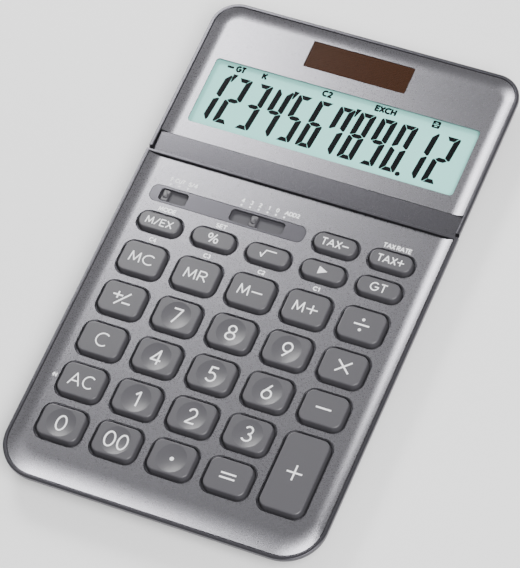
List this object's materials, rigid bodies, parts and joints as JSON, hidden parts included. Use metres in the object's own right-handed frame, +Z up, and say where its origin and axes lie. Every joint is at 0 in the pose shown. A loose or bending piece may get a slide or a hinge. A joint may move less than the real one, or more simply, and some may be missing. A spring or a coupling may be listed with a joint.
{
  "type": "desktop calculator",
  "caption": "Slim desktop calculator with a dished metal keyboard face, sprung keys, two slide switches and a hinged display half with a wide LCD and a solar cell.",
  "frame": {"origin": "on the desk, under the middle of the calculator's outline", "axes": "+X to the right along a row of keys, +Y away from the user towards the display, +Z up"},
  "size_m": [0.109, 0.1836, 0.0108],
  "materials": {
    "dished_metal": "fine satin, silver grey",
    "silver_case": "satin silver paint on moulded ABS",
    "under_case": "fine spark-eroded texture, grey ABS",
    "key_plastic": "satin, dark grey ABS",
    "strip_plastic": "satin grey ABS",
    "knob_plastic": "satin, dark grey ABS",
    "clear_window": "clear polished acrylic",
    "lcd_glass": "liquid crystal glass with its polariser",
    "reflector": "pale satin reflector foil",
    "grey_rubber": "matte silicone",
    "black_rubber": "matte rubber",
    "board": "green epoxy glass board",
    "ribbon": "flat flexible cable",
    "solar_cell": "amorphous silicon on glass, dark brown",
    "steel": "bright plated steel"
  },
  "bodies": {
    "base": {"base_feet": "black_rubber", "base_lower_case": "under_case", "base_screws": "steel", "base_upper_case": "silver_case", "battery_cover": "under_case", "battery_cover_screw": "steel", "cell_contacts": "steel", "coin_cell": "steel", "hinge_pins": "steel", "keyboard_panel": "dished_metal", "main_board": "board", "ribbon_cable": "ribbon", "rubber_key_mat": "grey_rubber", "switch_strip": "strip_plastic"},
    "display": {"display_back_case": "under_case", "display_board": "board", "display_feet": "black_rubber", "display_front_case": "silver_case", "display_panel": "dished_metal", "display_screws": "steel", "display_window": "clear_window", "lcd_glass": "lcd_glass", "lcd_reflector": "reflector", "solar_cell": "solar_cell", "solar_window": "clear_window", "zebra_connector": "grey_rubber"},
    "key_0_cap": {"key_0": "key_plastic"},
    "key_00_cap": {"key_00": "key_plastic"},
    "key_1_cap": {"key_1": "key_plastic"},
    "key_2_cap": {"key_2": "key_plastic"},
    "key_3_cap": {"key_3": "key_plastic"},
    "key_4_cap": {"key_4": "key_plastic"},
    "key_5_cap": {"key_5": "key_plastic"},
    "key_6_cap": {"key_6": "key_plastic"},
    "key_7_cap": {"key_7": "key_plastic"},
    "key_8_cap": {"key_8": "key_plastic"},
    "key_9_cap": {"key_9": "key_plastic"},
    "key_ac_cap": {"key_ac": "key_plastic"},
    "key_backspace_cap": {"key_backspace": "key_plastic"},
    "key_c_cap": {"key_c": "key_plastic"},
    "key_divide_cap": {"key_divide": "key_plastic"},
    "key_equals_cap": {"key_equals": "key_plastic"},
    "key_grand_total_cap": {"key_grand_total": "key_plastic"},
    "key_m_minus_cap": {"key_m_minus": "key_plastic"},
    "key_m_plus_cap": {"key_m_plus": "key_plastic"},
    "key_mc_cap": {"key_mc": "key_plastic"},
    "key_minus_cap": {"key_minus": "key_plastic"},
    "key_mode_cap": {"key_mode": "key_plastic"},
    "key_mr_cap": {"key_mr": "key_plastic"},
    "key_percent_cap": {"key_percent": "key_plastic"},
    "key_plus_cap": {"key_plus": "key_plastic"},
    "key_point_cap": {"key_point": "key_plastic"},
    "key_root_cap": {"key_root": "key_plastic"},
    "key_sign_cap": {"key_sign": "key_plastic"},
    "key_tax_minus_cap": {"key_tax_minus": "key_plastic"},
    "key_tax_plus_cap": {"key_tax_plus": "key_plastic"},
    "key_times_cap": {"key_times": "key_plastic"},
    "rounding_switch": {"rounding_slider": "knob_plastic"},
    "decimal_switch": {"decimal_slider": "knob_plastic"}
  },
  "joints": [
    {"name": "display_tilt", "type": "hinge", "parent": "base", "child": "display", "pos_m": [0, 0.0323, 0.00705], "axis": [1, 0, 0], "range_deg": [0, 20], "deforming": ["ribbon_cable"]},
    {"name": "key_0_press", "type": "slide", "parent": "base", "child": "key_0_cap", "axis": [0, 0, -1], "range_m": [0, 0.001], "stiffness_N_per_m": 500, "deforming": ["rubber_key_mat"]},
    {"name": "key_00_press", "type": "slide", "parent": "base", "child": "key_00_cap", "axis": [0, 0, -1], "range_m": [0, 0.001], "stiffness_N_per_m": 500, "deforming": ["rubber_key_mat"]},
    {"name": "key_1_press", "type": "slide", "parent": "base", "child": "key_1_cap", "axis": [0, 0, -1], "range_m": [0, 0.001], "stiffness_N_per_m": 500, "deforming": ["rubber_key_mat"]},
    {"name": "key_2_press", "type": "slide", "parent": "base", "child": "key_2_cap", "axis": [0, 0, -1], "range_m": [0, 0.001], "stiffness_N_per_m": 500, "deforming": ["rubber_key_mat"]},
    {"name": "key_3_press", "type": "slide", "parent": "base", "child": "key_3_cap", "axis": [0, 0, -1], "range_m": [0, 0.001], "stiffness_N_per_m": 500, "deforming": ["rubber_key_mat"]},
    {"name": "key_4_press", "type": "slide", "parent": "base", "child": "key_4_cap", "axis": [0, 0, -1], "range_m": [0, 0.001], "stiffness_N_per_m": 500, "deforming": ["rubber_key_mat"]},
    {"name": "key_5_press", "type": "slide", "parent": "base", "child": "key_5_cap", "axis": [0, 0, -1], "range_m": [0, 0.001], "stiffness_N_per_m": 500, "deforming": ["rubber_key_mat"]},
    {"name": "key_6_press", "type": "slide", "parent": "base", "child": "key_6_cap", "axis": [0, 0, -1], "range_m": [0, 0.001], "stiffness_N_per_m": 500, "deforming": ["rubber_key_mat"]},
    {"name": "key_7_press", "type": "slide", "parent": "base", "child": "key_7_cap", "axis": [0, 0, -1], "range_m": [0, 0.001], "stiffness_N_per_m": 500, "deforming": ["rubber_key_mat"]},
    {"name": "key_8_press", "type": "slide", "parent": "base", "child": "key_8_cap", "axis": [0, 0, -1], "range_m": [0, 0.001], "stiffness_N_per_m": 500, "deforming": ["rubber_key_mat"]},
    {"name": "key_9_press", "type": "slide", "parent": "base", "child": "key_9_cap", "axis": [0, 0, -1], "range_m": [0, 0.001], "stiffness_N_per_m": 500, "deforming": ["rubber_key_mat"]},
    {"name": "key_ac_press", "type": "slide", "parent": "base", "child": "key_ac_cap", "axis": [0, 0, -1], "range_m": [0, 0.001], "stiffness_N_per_m": 500, "deforming": ["rubber_key_mat"]},
    {"name": "key_backspace_press", "type": "slide", "parent": "base", "child": "key_backspace_cap", "axis": [0, 0, -1], "range_m": [0, 0.001], "stiffness_N_per_m": 500, "deforming": ["rubber_key_mat"]},
    {"name": "key_c_press", "type": "slide", "parent": "base", "child": "key_c_cap", "axis": [0, 0, -1], "range_m": [0, 0.001], "stiffness_N_per_m": 500, "deforming": ["rubber_key_mat"]},
    {"name": "key_divide_press", "type": "slide", "parent": "base", "child": "key_divide_cap", "axis": [0, 0, -1], "range_m": [0, 0.001], "stiffness_N_per_m": 500, "deforming": ["rubber_key_mat"]},
    {"name": "key_equals_press", "type": "slide", "parent": "base", "child": "key_equals_cap", "axis": [0, 0, -1], "range_m": [0, 0.001], "stiffness_N_per_m": 500, "deforming": ["rubber_key_mat"]},
    {"name": "key_grand_total_press", "type": "slide", "parent": "base", "child": "key_grand_total_cap", "axis": [0, 0, -1], "range_m": [0, 0.001], "stiffness_N_per_m": 500, "deforming": ["rubber_key_mat"]},
    {"name": "key_m_minus_press", "type": "slide", "parent": "base", "child": "key_m_minus_cap", "axis": [0, 0, -1], "range_m": [0, 0.001], "stiffness_N_per_m": 500, "deforming": ["rubber_key_mat"]},
    {"name": "key_m_plus_press", "type": "slide", "parent": "base", "child": "key_m_plus_cap", "axis": [0, 0, -1], "range_m": [0, 0.001], "stiffness_N_per_m": 500, "deforming": ["rubber_key_mat"]},
    {"name": "key_mc_press", "type": "slide", "parent": "base", "child": "key_mc_cap", "axis": [0, 0, -1], "range_m": [0, 0.001], "stiffness_N_per_m": 500, "deforming": ["rubber_key_mat"]},
    {"name": "key_minus_press", "type": "slide", "parent": "base", "child": "key_minus_cap", "axis": [0, 0, -1], "range_m": [0, 0.001], "stiffness_N_per_m": 500, "deforming": ["rubber_key_mat"]},
    {"name": "key_mode_press", "type": "slide", "parent": "base", "child": "key_mode_cap", "axis": [0, 0, -1], "range_m": [0, 0.001], "stiffness_N_per_m": 500, "deforming": ["rubber_key_mat"]},
    {"name": "key_mr_press", "type": "slide", "parent": "base", "child": "key_mr_cap", "axis": [0, 0, -1], "range_m": [0, 0.001], "stiffness_N_per_m": 500, "deforming": ["rubber_key_mat"]},
    {"name": "key_percent_press", "type": "slide", "parent": "base", "child": "key_percent_cap", "axis": [0, 0, -1], "range_m": [0, 0.001], "stiffness_N_per_m": 500, "deforming": ["rubber_key_mat"]},
    {"name": "key_plus_press", "type": "slide", "parent": "base", "child": "key_plus_cap", "axis": [0, 0, -1], "range_m": [0, 0.001], "stiffness_N_per_m": 500, "deforming": ["rubber_key_mat"]},
    {"name": "key_point_press", "type": "slide", "parent": "base", "child": "key_point_cap", "axis": [0, 0, -1], "range_m": [0, 0.001], "stiffness_N_per_m": 500, "deforming": ["rubber_key_mat"]},
    {"name": "key_root_press", "type": "slide", "parent": "base", "child": "key_root_cap", "axis": [0, 0, -1], "range_m": [0, 0.001], "stiffness_N_per_m": 500, "deforming": ["rubber_key_mat"]},
    {"name": "key_sign_press", "type": "slide", "parent": "base", "child": "key_sign_cap", "axis": [0, 0, -1], "range_m": [0, 0.001], "stiffness_N_per_m": 500, "deforming": ["rubber_key_mat"]},
    {"name": "key_tax_minus_press", "type": "slide", "parent": "base", "child": "key_tax_minus_cap", "axis": [0, 0, -1], "range_m": [0, 0.001], "stiffness_N_per_m": 500, "deforming": ["rubber_key_mat"]},
    {"name": "key_tax_plus_press", "type": "slide", "parent": "base", "child": "key_tax_plus_cap", "axis": [0, 0, -1], "range_m": [0, 0.001], "stiffness_N_per_m": 500, "deforming": ["rubber_key_mat"]},
    {"name": "key_times_press", "type": "slide", "parent": "base", "child": "key_times_cap", "axis": [0, 0, -1], "range_m": [0, 0.001], "stiffness_N_per_m": 500, "deforming": ["rubber_key_mat"]},
    {"name": "rounding_slide", "type": "slide", "parent": "base", "child": "rounding_switch", "axis": [1, 0, 0], "range_m": [0, 0.0061]},
    {"name": "decimal_slide", "type": "slide", "parent": "base", "child": "decimal_switch", "axis": [1, 0, 0], "range_m": [-0.006, 0.009]}
  ]
}
